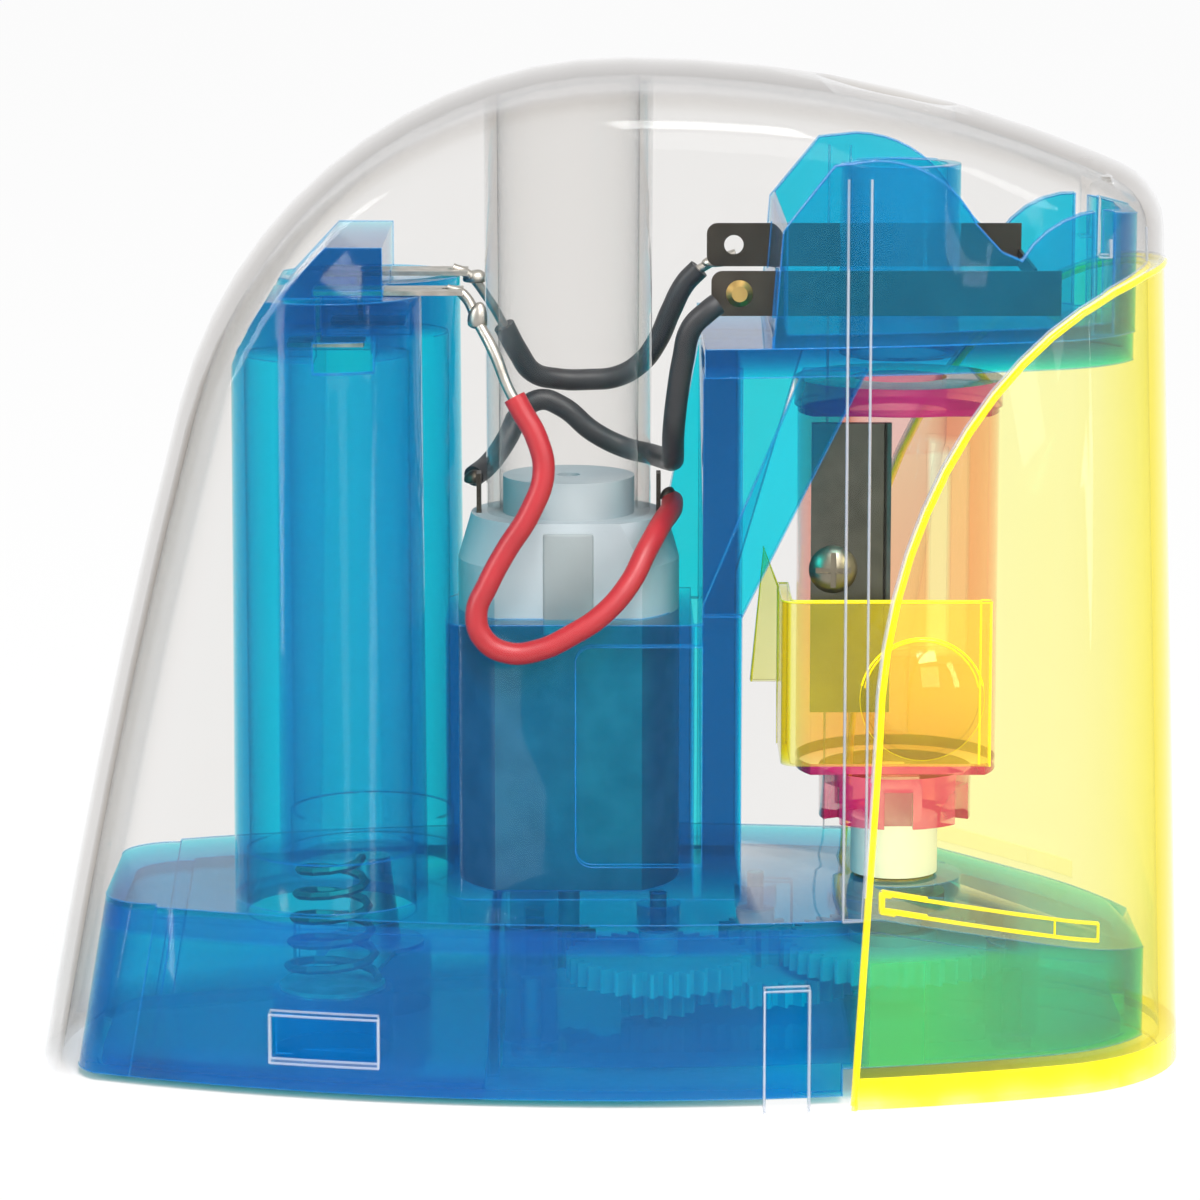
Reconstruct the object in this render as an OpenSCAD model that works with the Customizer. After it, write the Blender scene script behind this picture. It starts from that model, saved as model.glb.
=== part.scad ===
// Battery pencil sharpener with a clear casing and a pull-off shavings cover.
// Millimetres, +Z up, origin on the table in the middle of the footprint.
// The battery end is at -X, the cutter at +X.

/* [Casing] */
// Height of the casing
casing_h = 91.9; // [89.5:0.1:95]
// Left end at the foot, from the middle
left_reach = 52.65; // [51.5:0.05:55]
// Right end at the foot, from the middle
right_reach = 52.65; // [51.5:0.05:54]
// Half of the greatest depth, front to back
half_deep = 22.95; // [22.5:0.05:25]
// Radius of the two long sides in plan
side_r = 128; // [122:1:140]
// Where the sides are widest apart
side_x = 0.65; // [-1:0.05:2]
// Where the roof is highest
crown_x = 1.35; // [0:0.05:3]
// Radius of the shoulder over the battery end
shoulder_r = 42; // [41:0.5:43]
// How far the battery end bows outward, in degrees
left_bow = 2.6; // [1.5:0.1:4]
// Radius of the roof from the crown to the right
roof_r = 112; // [106:1:125]
// Lean of the right end, in degrees
nose_lean = 2; // [1:0.25:3]
// Edge radius between the roof and the right end
nose_edge_r = 6.5; // [5:0.25:8]
// Edge radius between the roof and the sides
edge_r = 5; // [4:0.25:6]
// How far the roof falls from its middle to its edges
roof_crown = 1.6; // [1:0.1:2]
// Inward lean of the two long sides, in degrees
side_lean = 0.5; // [0.25:0.05:0.6]
// Thickness of the casing and the cover
wall = 1.6; // [1.2:0.1:1.8]
// Outer radius of the column that holds the motor down
column_r = 7.7; // [7:0.1:8.5]
// Wall of that column
column_wall = 1.2; // [0.9:0.1:1.6]
// Width of the upright rib inside each side
rib_w = 2; // [1.4:0.1:2.6]
// How far that rib stands out
rib_t = 1; // [0.6:0.1:1.4]
// Width of the square snap window
window_w = 9.8; // [8:0.1:11]
// Height of the square snap window
window_h = 4.4; // [4:0.1:5]
// Where that window starts
window_x = -30.5; // [-33:0.1:-26]
// Height of its lower edge
window_z = 3.8; // [3:0.1:5]
// Width of the tall snap slot
slot_w = 4; // [3:0.1:5]
// Height of the tall snap slot
slot_h = 11.1; // [9:0.1:13]
// Where the tall slot starts
slot_x = 13.6; // [11:0.1:15]

/* [Cover] */
// Where the cover starts at the foot
cover_x = 21.65; // [20:0.05:23]
// How far its edge leans to the right up to the curve
cover_lean = 2; // [1:0.1:3]
// Height where the edge starts to curve
cover_curve_z = 33; // [30:0.5:36]
// Height of the curve
cover_curve_h = 41; // [38:0.5:42]
// Gap between the cover and the casing
cover_gap = 0.4; // [0.3:0.05:0.6]
// Thickness of the cover's floor
cover_floor_t = 1.8; // [1.4:0.1:2.2]

/* [Chassis] */
// Gap between the chassis and the casing
fit = 0.5; // [0.4:0.05:0.7]
// Wall of the tub
tub_wall = 1.6; // [1.4:0.1:1.8]
// Height of the underside of the tub
tub_z = 0.8; // [0.6:0.1:1.2]
// Height of its underside over the cover's floor
tub_step_z = 3.3; // [3:0.1:3.6]
// Height of the deck
deck_z = 16.8; // [16.4:0.1:17.4]
// Thickness of the deck
deck_t = 1.6; // [1.4:0.1:1.8]
// Where the deck starts to fall to the right
deck_break_x = 24; // [22:0.1:25]
// How much lower the deck is at its right end
deck_fall = 6.1; // [5:0.1:6.5]
// Bore of a battery tube, for an AA cell
tube_bore_r = 7.4; // [7.35:0.05:7.5]
// Wall of a battery tube
tube_wall = 1.4; // [1.2:0.1:1.5]
// How far the roof of the battery tubes is under the casing's top
tube_drop = 20.4; // [20:0.1:21.4]
// Thickness of that roof
tube_roof_t = 5.3; // [5:0.1:6]
// Height of the wider lead-in at the foot of a battery tube
lead_in_z = 21; // [20.8:0.1:22]
// Place of the front tube, left to right
front_tube_x = -25.4; // [-26.4:0.1:-25]
// Place of the back tube, left to right
back_tube_x = -22.4; // [-23:0.1:-22]
// Gap between the front tube and the side of the casing
front_tube_gap = 1.59; // [1.5:0.01:2]
// Gap between the back tube and the side of the casing
back_tube_gap = 1.93; // [1.8:0.01:2.4]
// Half the depth of the motor well
well_half = 11; // [10:0.1:12]
// Height of the motor well
well_z = 42; // [40:0.1:42]
// Thickness of the post
post_t = 3.5; // [3:0.1:4]
// Right face of the post
post_x = 11.7; // [11:0.1:12.2]
// How far the underside of the arm is under the casing's top
arm_drop = 26.7; // [26:0.1:27]
// Thickness of the arm
arm_t = 2.5; // [2:0.1:2.8]
// How far the arm ends short of the casing's right foot
arm_end = 5.65; // [5.2:0.05:6.6]
// Thickness of the slanting web under the arm
web_t = 1.4; // [1:0.1:1.8]

/* [Pencil guide] */
// Radius of the hole for the pencil
pencil_r = 4.25; // [4:0.05:4.4]
// Wall of the guide tube
guide_wall = 1.2; // [1:0.1:1.5]
// How far the guide tube ends under the casing's top
guide_drop = 9.4; // [8.4:0.1:11]
// Wall of the guide block
block_wall = 1.4; // [1.2:0.1:1.8]
// How far the guide block's top is under the casing's top
block_drop = 7.9; // [7.4:0.1:9]

/* [Motor] */
// Place of the motor's shaft
motor_x = -3.85; // [-4.2:0.05:-3.4]
// Radius of the motor can
can_r = 10.1; // [9.8:0.05:10.2]
// Half the distance across the can's flats
can_flat = 7.6; // [7.4:0.05:7.8]
// Length of the can
can_h = 25; // [24:0.1:25.4]
// Height of the end cap's body
cap_body_h = 8.8; // [8:0.1:9.4]
// Height of the boss on top of it
cap_boss_h = 3.4; // [2.8:0.1:4]
// Radius of that boss
cap_boss_r = 6; // [5.6:0.1:6.2]
// Radius of the motor shaft
shaft_r = 1; // [0.9:0.05:1.1]

/* [Gears] */
// Gear module
gear_m = 0.5; // [0.49:0.005:0.51]
// Teeth of the motor pinion
pinion_teeth = 8; // [8:1:9]
// Teeth of the first wheel
first_teeth = 32; // [30:1:33]
// Teeth of the first and second small wheels
small_teeth = 12; // [11:1:12]
// Teeth of the second wheel
second_teeth = 38; // [37:1:39]
// Teeth of the spindle wheel
spindle_teeth = 40; // [39:1:41]
// Thickness of the wheels
wheel_t = 2.2; // [1.8:0.1:2.3]
// Radius of the gear axles
axle_r = 0.75; // [0.6:0.05:0.9]
// Direction from the motor to the first wheel, in degrees
first_angle = -35; // [-38:1:-32]

/* [Cutter] */
// Place of the spindle
spindle_x = 26.2; // [25.8:0.05:26.6]
// Radius of the cutter body
cutter_r = 9.2; // [9:0.05:9.4]
// Radius of its top flange
flange_r = 9.5; // [9.4:0.05:9.8]
// Underside of the cutter body's collar
collar_z = 22.3; // [21.5:0.1:23]
// Underside of the cutter body
body_z = 27; // [26:0.1:27.5]
// Gap between the top flange and the arm
flange_gap = 2.1; // [1.7:0.1:2.6]
// Thickness of the top flange
flange_t = 2.5; // [2:0.1:3]
// Radius of the collar
collar_r = 7; // [6.6:0.05:7.4]
// Radius of the white spindle
spindle_r = 4; // [3.7:0.05:4.2]
// Radius of the spindle in its bush
journal_r = 2.5; // [2.2:0.05:2.6]
// Width of the blade
blade_w = 7.2; // [6.8:0.1:7.6]
// How far the blade ends under the top flange
blade_gap = 1.1; // [0.6:0.1:3]
// Thickness of the blade
blade_t = 0.9; // [0.6:0.05:1.1]
// Lower end of the blade
blade_z = 33; // [32:0.1:34]
// Height of the blade screw
blade_screw_z = 46.2; // [45.8:0.1:47]
// Lower edge of the clip band
band_z = 28.3; // [27.8:0.1:29]
// Height of the clip band
band_h = 15.1; // [14:0.1:15.2]
// Thickness of the clip band
band_t = 0.9; // [0.7:0.05:1.1]

/* [Electrics] */
// Thickness of the contact plates
plate_t = 0.4; // [0.3:0.05:0.5]
// Width of the battery tabs
tab_w = 4.6; // [4:0.1:5]
// Radius of a wire with its insulation
wire_r = 1; // [0.8:0.05:1.1]
// Radius of the bare wire ends
bare_r = 0.5; // [0.35:0.05:0.55]
// Wire radius of the contact spring
spring_wire_r = 0.4; // [0.3:0.05:0.45]
// Turns of the contact spring
spring_turns = 5; // [4:1:6]
// Height of the contact spring
spring_h = 12; // [10:0.5:13]
// Thickness of the switch leaves
leaf_t = 0.3; // [0.2:0.05:0.4]
// Width of the switch leaves
leaf_w = 4; // [3.6:0.1:4.4]
// Gap between the front switch leaf and the wall of the guide block
leaf_gap = 0.64; // [0.5:0.02:0.8]

/* [Bottom] */
// Thickness of the gearbox floor and the battery door
plate = 1.4; // [1.2:0.1:1.5]
// Radius of a floor screw's shank
screw_r = 0.9; // [0.8:0.05:1]
// Radius of a floor screw's head
screw_head_r = 1.8; // [1.6:0.05:2]

/* [Hidden] */
$fn = 64;
eps = 0.02;
far_off = 200;
tube_top_z = casing_h - tube_drop;
tube_bore_z = tube_top_z - tube_roof_t;
arm_z = casing_h - arm_drop;
arm_x = right_reach - arm_end;
guide_z = casing_h - guide_drop;
block_z = casing_h - block_drop;
flange_z = arm_z - flange_gap - flange_t;
blade_l = flange_z - blade_gap - blade_z;
run_gap = 0.05; // radial play of a shaft in its hole
slide_gap = 0.3; // play between parts that slide past each other

// ---- the casing's outline ----
function arc(c, r, a0, a1, n) = [for (i = [0:n]) c + r * dir(a0 + (a1 - a0) * i / n)];
function dir(a) = [cos(a), sin(a)];

// Side view: battery end, shoulder, roof, edge over the nose, nose.
shoulder_c = [crown_x, casing_h - shoulder_r];
foot_left = [-left_reach, 0];
foot_to_shoulder = shoulder_c - foot_left;
shoulder_lean = atan2(foot_to_shoulder.x, foot_to_shoulder.y) - asin(shoulder_r / norm(foot_to_shoulder)) + left_bow;
shoulder_end = shoulder_c + shoulder_r * dir(180 - shoulder_lean);
foot_right = [right_reach, 0];
lean_dir = dir(-shoulder_lean);
foot_step = foot_left - shoulder_end;
left_r = (foot_step * foot_step) / (2 * (foot_step * lean_dir));
left_c = shoulder_end + left_r * lean_dir;
foot_angle = atan2(-left_c.y, left_c.x + left_reach);
foot_lean = foot_angle;
roof_c = [crown_x, casing_h - roof_r];
nose_out = dir(nose_lean);
nose_up = dir(90 + nose_lean);
edge_along = (foot_right - roof_c) * nose_out - nose_edge_r;
edge_up = sqrt(pow(roof_r - nose_edge_r, 2) - pow(edge_along, 2));
edge_c = roof_c + edge_along * nose_out + edge_up * nose_up;
edge_angle = atan2(edge_c.y - roof_c.y, edge_c.x - roof_c.x);
nose_top = edge_c + nose_edge_r * nose_out;
sink = 3; // how far the skin runs on below the table before it is cut off
sink_turn = 1.7 * sink / left_r * 180 / PI;
outline = concat(
    arc(left_c, left_r, 180 - foot_angle + sink_turn, 180 - shoulder_lean, 6),
    arc(shoulder_c, shoulder_r, 180 - shoulder_lean - 6, 96, 11),
    arc(roof_c, roof_r, 90, edge_angle + 1, 7),
    arc(edge_c, nose_edge_r, edge_angle, nose_lean, 5),
    [for (i = [1:2]) nose_top + (foot_right - nose_top) * i / 3],
    [foot_right - sink * nose_up]
);
last = len(outline) - 1;
function inward(i) =
    let (step = outline[min(i + 1, last)] - outline[max(i - 1, 0)]) [step.y, -step.x] / norm(step);

// Plan: two long arcs, and a nose arc tangent to both.
nose_run = right_reach - side_x;
nose_r = (2 * side_r * half_deep - pow(half_deep, 2) - pow(nose_run, 2)) / (2 * (side_r - nose_run));
nose_x = right_reach - nose_r;
function blend_x(inset) = nose_x + (nose_r - inset) * (nose_x - side_x) / norm([nose_x - side_x, side_r - half_deep]);
function half_depth(x, inset) =
    x < blend_x(inset)
    ? sqrt(pow(side_r - inset, 2) - pow(x - side_x, 2)) - (side_r - half_deep)
    : sqrt(pow(nose_r - inset, 2) - pow(x - nose_x, 2));
// The plan of the right half is drawn in with the lean of the nose, the higher the more.
function drawn_in(z) = 1 - z * tan(nose_lean) / right_reach;
function side_y(x, z, inset) = half_depth(x > 0 ? x / drawn_in(z) : x, inset) - z * tan(side_lean);
function roof_z(x) =
    x < crown_x
    ? shoulder_c.y + sqrt(pow(shoulder_r, 2) - pow(x - crown_x, 2))
    : roof_c.y + sqrt(pow(roof_r, 2) - pow(x - crown_x, 2));

// A rib of the skin goes from the middle out over the edge: [depth, inward].
// Over the roof it is nearly flat with a round edge, and on the nose it is part of the nose arc.
rib_steps = 10;
crown_steps = 4;
nose_share = 50.5; // degrees of the nose arc that belong to a rib
function roof_rib(k, h, inset) =
    k <= crown_steps
    ? let (f = k / crown_steps) [(h - edge_r) * f, inset + roof_crown * f * f]
    : let (a = 90 * (k - crown_steps) / (rib_steps - crown_steps))
        [h - edge_r + (edge_r - inset) * sin(a), inset + roof_crown + (edge_r - inset) * (1 - cos(a))];
function nose_rib(k, inset) =
    let (a = acos(nose_r * cos(nose_share) / (nose_r - inset)) * k / rib_steps)
        [(nose_r - inset) * sin(a), inset + (nose_r - inset) * (1 - cos(a))];
nose_start = last - 7; // the ribs turn into nose ribs over the edge above the nose
function rib_point(i, k, inset) =
    let (
        p = outline[i],
        blend = max(0, min(1, (i - nose_start) / 4)),
        end = p + (roof_crown + edge_r) * inward(i),
        h = side_y(end.x, end.y, 0) + end.y * tan(side_lean),
        r = roof_rib(k, h, inset) * (1 - blend) + nose_rib(k, inset) * blend,
        q = p + r.y * (1 - blend + blend * drawn_in(p.y)) * inward(i)
    ) [q.x, r.x - q.y * tan(side_lean), q.y];
side_steps = [0.35, 0.7]; // where the rib bends again on its way down to the foot
function rib(i, inset) =
    let (
        end = rib_point(i, rib_steps, inset),
        foot_z = -2 * sink - 2,
        down = [for (f = concat(side_steps, 1)) let (z = end.z + (foot_z - end.z) * f) [end.x, side_y(end.x, z, inset), z]],
        half = concat([for (k = [1:rib_steps]) rib_point(i, k, inset)], down)
    ) concat(
        [[end.x, 0, foot_z]],
        [for (k = [len(half) - 1:-1:0]) [half[k].x, -half[k].y, half[k].z]],
        [rib_point(i, 0, inset)],
        half
    );
module skin(inset) {
    ring = 2 * (rib_steps + len(side_steps)) + 4;
    points = [for (i = [0:last]) each rib(i, inset)];
    sides = [for (i = [0:last - 1]) for (k = [0:ring - 1])
        let (a = i * ring + k, b = i * ring + (k + 1) % ring) each [[a, b, a + ring], [b, b + ring, a + ring]]];
    first_cap = [for (k = [1:ring - 2]) [0, k + 1, k]];
    end = last * ring;
    last_cap = [for (k = [1:ring - 2]) [end, end + k, end + k + 1]];
    polyhedron(points = points, faces = concat(sides, first_cap, last_cap));
}
module above(z) translate([-far_off, -far_off, z]) cube([2 * far_off, 2 * far_off, far_off]);
module slab(x0, x1, z0, z1, y0 = -60, y1 = 60) translate([x0, y0, z0]) cube([x1 - x0, y1 - y0, z1 - z0]);
module both_sides() {
    children();
    mirror([0, 1, 0]) children();
}
module side_cut(y0, y1) translate([0, y1, 0]) rotate([90, 0, 0]) linear_extrude(y1 - y0) children();
module shell() intersection() {
    difference() {
        skin(0);
        skin(wall);
    }
    above(0);
}

// The cover's edge in side view: a leaning line, then a quarter of an ellipse.
cover_curve_x = cover_x + cover_lean;
cover_curve_w = right_reach + 1 - cover_curve_x;
function cover_edge(gap) = concat(
    [[cover_x - gap, -5], [cover_x - gap, 0]],
    [for (a = [0:6:90]) [
        cover_curve_x + cover_curve_w - (cover_curve_w + gap) * cos(a),
        cover_curve_z + (cover_curve_h + gap) * sin(a)
    ]]
);
module cover_side(gap) side_cut(-60, 60)
    polygon(concat(cover_edge(gap), [[right_reach + 20, cover_curve_z + cover_curve_h + gap], [right_reach + 20, -5]]));

pencil_mouth_r = pencil_r + 0.6;
column_z = deck_z + can_h + cap_body_h + 0.15;
column_foot_r = column_r - 0.2;
module column() difference() {
    translate([motor_x, 0, column_z]) cylinder(r1 = column_foot_r, r2 = column_r, h = casing_h - column_z);
    translate([motor_x, 0, column_z - 1])
        cylinder(r1 = column_foot_r - column_wall, r2 = column_r - column_wall, h = casing_h - column_z + 2);
    column_left = [motor_x - column_r, roof_z(motor_x - column_r) - wall / 2];
    column_right = [motor_x + column_r, roof_z(motor_x + column_r) - wall / 2];
    rise = column_right - column_left;
    translate([column_left.x, 0, column_left.y]) rotate([0, -atan2(rise.y, rise.x), 0])
        translate([-10, -20, 0]) cube([40, 40, 20]);
}
side_rib_x = 20.6;
side_rib_top = roof_z(side_rib_x) - edge_r - roof_crown - 1;
module side_rib() {
    y = half_depth(side_rib_x, wall) - rib_t;
    translate([side_rib_x, -y, deck_z]) rotate([-side_lean, 0, 0])
        translate([0, -rib_t - wall / 2, 0]) cube([rib_w, rib_t + wall / 2, side_rib_top - deck_z]);
}
tongue_x = right_reach - 9.35;
tongue_t = 1;
tongue_y = 8.4;
tongue_z = block_z - 9;
module tongue() translate([tongue_x, -tongue_y - 2, tongue_z]) cube([tongue_t, 2.6, roof_z(tongue_x) - wall - tongue_z]);

// The free-form skins are cut and joined as one mesh.
module as_mesh() resize([0, 0, 0]) children();
module clear_casing() color("gainsboro", 0.35) as_mesh() difference() {
    union() {
        shell();
        column();
        both_sides() side_rib();
        both_sides() tongue();
    }
    cover_side(cover_gap);
    both_sides() slab(window_x, window_x + window_w, window_z, window_z + window_h, -60, -10);
    both_sides() slab(slot_x, slot_x + slot_w, -1, slot_h, -60, -15);
    translate([spindle_x, 0, guide_z]) cylinder(r = pencil_mouth_r, h = 20);
    translate([spindle_x, 0, roof_z(spindle_x) - wall])
        cylinder(r1 = pencil_mouth_r, r2 = pencil_mouth_r + 2 * wall, h = 2 * wall);
}

// ---- plan outlines ----
module plan(inset) intersection() {
    translate([side_x, side_r - half_deep]) circle(r = side_r - inset, $fn = 256);
    translate([side_x, half_deep - side_r]) circle(r = side_r - inset, $fn = 256);
    union() {
        translate([nose_x, 0]) circle(r = nose_r - inset);
        translate([-far_off, -60]) square([far_off + blend_x(inset), 120]);
    }
}
left_corner_r = edge_r;
module left_end(inset) {
    x = -left_reach + roof_crown + inset;
    r = left_corner_r;
    y = half_depth(x + r, inset) - r;
    translate([x + r, -60]) square([far_off, 120]);
    translate([x, -y]) square([far_off, 2 * y]);
    for (s = [-1, 1]) translate([x + r, s * y]) circle(r = r);
}
module footprint(inset, z0, z1) intersection() {
    translate([0, 0, z0]) linear_extrude(z1 - z0) plan(inset);
    translate([-left_reach, 0, 0]) rotate([0, foot_lean, 0]) translate([left_reach, 0, -20])
        linear_extrude(60) left_end(inset);
}
function deck_top(x) = x < deck_break_x ? deck_z : deck_z - deck_fall * (x - deck_break_x) / (right_reach - deck_break_x);
module under_deck(drop) side_cut(-60, 60) polygon([
    [-far_off, -5], [-far_off, deck_z - drop], [deck_break_x, deck_z - drop],
    [right_reach, deck_z - deck_fall - drop], [right_reach, -5]
]);

// ---- chassis ----
tub_inset = wall + fit;
tub_step_x = cover_x - 1;
tub_right = right_reach - 4;
tube_r = tube_bore_r + tube_wall;
front_tube = [front_tube_x, -half_depth(front_tube_x, wall + front_tube_gap + tube_r)];
back_tube = [back_tube_x, half_depth(back_tube_x, wall + back_tube_gap + tube_r)];
tubes = [front_tube, back_tube];
pocket_h = 2.2; // space over each bore for the contact plate
lead_in = 0.3; // how much wider the lead-in is than the bore
module tub() difference() {
    intersection() {
        footprint(tub_inset, tub_z, deck_z);
        under_deck(0);
        slab(-far_off, tub_right, -1, deck_z + 1);
    }
    intersection() {
        footprint(tub_inset + tub_wall, -1, deck_z - deck_t);
        under_deck(deck_t);
        slab(-far_off, tub_right - tub_wall, -1, deck_z);
    }
    slab(tub_step_x, far_off, -1, tub_step_z);
}
module tube_solid(p) translate([p.x, p.y, deck_z - deck_t])
    cylinder(r1 = tube_r, r2 = tube_r - 0.3, h = tube_top_z - deck_z + deck_t);
holder_x = [-29.5, -20.25];
holder_z = tube_top_z + 4.5;
module tab_holder() side_cut(-12, 12.6) polygon([
    [holder_x[0], tube_top_z - eps], [holder_x[1], tube_top_z - eps], [holder_x[1], holder_z], [holder_x[1] - 5, holder_z]
]);
module under_shoulder() {
    r = shoulder_r - wall - roof_crown - 0.4;
    translate([shoulder_c.x, 0, shoulder_c.y]) rotate([90, 0, 0]) cylinder(r = r, h = 120, center = true, $fn = 128);
    slab(-far_off, far_off, 0, shoulder_end.y - 2);
}
tube_window_x = [front_tube.x - 0.8, front_tube.x + 4.5];
module battery_tubes() difference() {
    intersection() {
        union() {
            for (p = tubes) tube_solid(p);
            tab_holder();
        }
        under_shoulder();
    }
    tab_slots();
    slab(tube_window_x[0], tube_window_x[1], tube_bore_z - 0.9, tube_bore_z + 1.9, -30, front_tube.y);
}
tab_z = tube_top_z + 0.1;
tab_leg = [-0.9, -0.5]; // the leg that joins a tab to its contact plate, from the middle of the bore
module tab_slots() for (p = tubes) {
    slab(holder_x[0] + 3, holder_x[1] + 1, tab_z - 0.05, tab_z + plate_t + 0.05, p.y - tab_w / 2 - 0.05, p.y + tab_w / 2 + 0.05);
    slab(p.x + tab_leg[0] - 0.05, p.x + tab_leg[1] + 0.05, tube_bore_z, tab_z + 0.1, p.y - 1.3, p.y + 1.3);
}
module bores() for (p = tubes) {
    translate([p.x, p.y, -5]) cylinder(r = tube_bore_r, h = tube_bore_z + 5);
    translate([p.x, p.y, -5]) cylinder(r = tube_bore_r + lead_in, h = lead_in_z + 5);
    slab(p.x - 4, p.x + 4, tube_bore_z - 1, tube_bore_z + pocket_h, p.y - 2.5, p.y + 2.5);
}
well_x = [motor_x - can_r - 1, post_x];
well_corner = 2.5;
module motor_outline(gap) intersection() {
    circle(r = can_r + gap);
    square([60, 2 * (can_flat + gap)], center = true);
}
module rounded(x0, x1, y0, y1, r) {
    translate([x0 + r, y0]) square([x1 - x0 - 2 * r, y1 - y0]);
    translate([x0, y0 + r]) square([x1 - x0, y1 - y0 - 2 * r]);
    for (x = [x0 + r, x1 - r]) for (y = [y0 + r, y1 - r]) translate([x, y]) circle(r = r);
}
panel_x = -3.2;
module well() difference() {
    translate([0, 0, deck_z - eps]) linear_extrude(well_z - deck_z)
        rounded(well_x[0], well_x[1], -well_half, well_half, well_corner);
    side_cut(-well_half - 1, -well_half + 1.2)
        rounded(panel_x, well_x[1] - 1.2, deck_z + 3, well_z - 2, 1.5);
    slab(can_r + motor_x + 1.2, post_x - post_t + 0.8, deck_z, well_z + 1, 1 - well_half, well_half - 1.2);
}
module post_and_arm() difference() {
    union() {
        slab(post_x - post_t, post_x, deck_z - eps, arm_z + arm_t, -well_half, well_half);
        intersection() {
            translate([0, 0, arm_z]) linear_extrude(arm_t) plan(block_inset);
            slab(post_x - post_t, arm_x, arm_z, arm_z + arm_t);
        }
        side_cut(well_half - 2, well_half) polygon([
            [post_x - post_t + eps, arm_z], [post_x - post_t - 4.6, well_z - 1], [post_x - post_t + eps, well_z - 1]
        ]);
    }
    translate([spindle_x, 0, arm_z - 1]) cylinder(r = pencil_r + guide_wall + run_gap, h = arm_t + 2);
}
web_y = well_half + 0.6;
web_x = [5.4, 11]; // where the slanting web meets the arm, from the post
module web() {
    side_cut(-web_y - web_t / 2, -web_y + web_t / 2 + 0.2) polygon([
        [post_x - post_t, well_z + 1], [post_x, well_z + 1], [post_x + web_x[1], arm_z + eps],
        [post_x + web_x[0], arm_z + eps], [post_x - post_t, well_z + 2]
    ]);
    side_cut(well_half - web_t, well_half) polygon([
        [post_x - eps, well_z + 1], [post_x - eps, arm_z + eps], [post_x + web_x[0] + 1, arm_z + eps]
    ]);
}
boss_r = 2.4;
screw_right_x = spindle_x + 10.2;
screw_right_y = half_depth(screw_right_x, tub_inset + tub_wall) - boss_r - 1;
screws = [[-7.2, 13], [-7.2, -13.6], [screw_right_x, -screw_right_y], [screw_right_x, screw_right_y]];
floor_top = tub_step_z + plate;
module floor_bosses() for (p = screws) translate([p.x, p.y, floor_top + eps])
    cylinder(r = boss_r, h = deck_top(p.x) - floor_top - deck_t / 2);
tub_rib_x = -10;
module tub_ribs() intersection() {
    footprint(tub_inset + eps, tub_z, deck_z - eps);
    union() {
        slab(tub_rib_x - 1, tub_rib_x, tub_z + plate + slide_gap, deck_z);
        both_sides() slab(-32, -30.6, tub_z + plate + slide_gap, deck_z, -60, -16.8);
    }
}
axle_boss_r = 2;
module axle_bosses() for (p = [first_p, second_p]) translate([p.x, p.y, deck_z - deck_t - 2.2]) cylinder(r = axle_boss_r, h = 2.4);
spindle_boss_r = 6.2;
module spindle_boss() translate([spindle_x, 0, deck_z - deck_t - 1.6]) cylinder(r = spindle_boss_r, h = deck_t + 1.6);
module snap_lugs() both_sides() {
    y = half_depth(window_x, 0) - tub_inset;
    slab(window_x + 0.5, window_x + window_w - 0.5, window_z + 0.4, window_z + window_h - 0.4, -y - 0.4, -y + 1);
}
module chassis() color("royalblue", 0.8) difference() {
    union() {
        tub();
        battery_tubes();
        well();
        post_and_arm();
        web();
        floor_bosses();
        tub_ribs();
        axle_bosses();
        spindle_boss();
        snap_lugs();
    }
    bores();
    translate([motor_x, 0, deck_z + eps]) linear_extrude(can_h + 10) motor_outline(run_gap);
    translate([motor_x, 0, 0]) cylinder(r = motor_boss_r + run_gap, h = deck_z + 1);
    translate([spindle_x, 0, 0]) cylinder(r = bush_r + run_gap, h = deck_z + 1);
    translate([spindle_x, 0, 0]) cylinder(r = bush_r + 1 + run_gap, h = deck_z - deck_t);
    for (p = [first_p, second_p]) translate([p.x, p.y, 10]) cylinder(r = axle_r + run_gap / 2, h = axle_top - 10 + 0.1);
    for (p = screws) translate([p.x, p.y, 0]) cylinder(r = screw_r + run_gap, h = floor_top + screw_l);
}

// ---- guide block ----
block_inset = wall + 3.2; // how far the arm and the guide block stay inside the casing
block_x = [post_x + 2.3, right_reach - 5.45];
saddle = [right_reach - 18.25, 8.3]; // the low point between the block's two humps, and how far down it is
module block_side() side_cut(-60, 60) polygon(concat(
    [[block_x[0], arm_z], [block_x[0] + 1, block_z - 6], [block_x[0] + 5.5, block_z - 0.4]],
    arc([block_x[0] + 9, block_z - 10], 10, 90, 25, 9),
    [[saddle.x, block_z - saddle.y]],
    arc([tongue_x, block_z - 13.2], 8.2, 150, 90, 5),
    [[block_x[1], block_z - 5.6], [block_x[1], arm_z]]
));
module block_plan(inset) intersection() {
    plan(block_inset + inset);
    translate([block_x[0] + inset, -60]) square([block_x[1] - block_x[0] - 2 * inset, 120]);
}
block_bottom = arm_z + arm_t;
module guide_block() color("deepskyblue", 0.8) difference() {
    union() {
        intersection() {
            translate([0, 0, block_bottom + eps]) linear_extrude(block_z - block_bottom) difference() {
                block_plan(0);
                block_plan(block_wall);
            }
            block_side();
        }
        translate([0, 0, block_bottom + eps]) linear_extrude(1) block_plan(0.1);
        translate([spindle_x, 0, arm_z]) cylinder(r = pencil_r + guide_wall, h = guide_z - arm_z);
    }
    translate([spindle_x, 0, arm_z - 1]) cylinder(r = pencil_r, h = guide_z);
    both_sides() slab(tongue_x - 0.5, tongue_x + tongue_t + 0.5, block_bottom - 0.2, casing_h, -30, -tongue_y + 1.2);
    leaf_slots();
}

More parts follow.
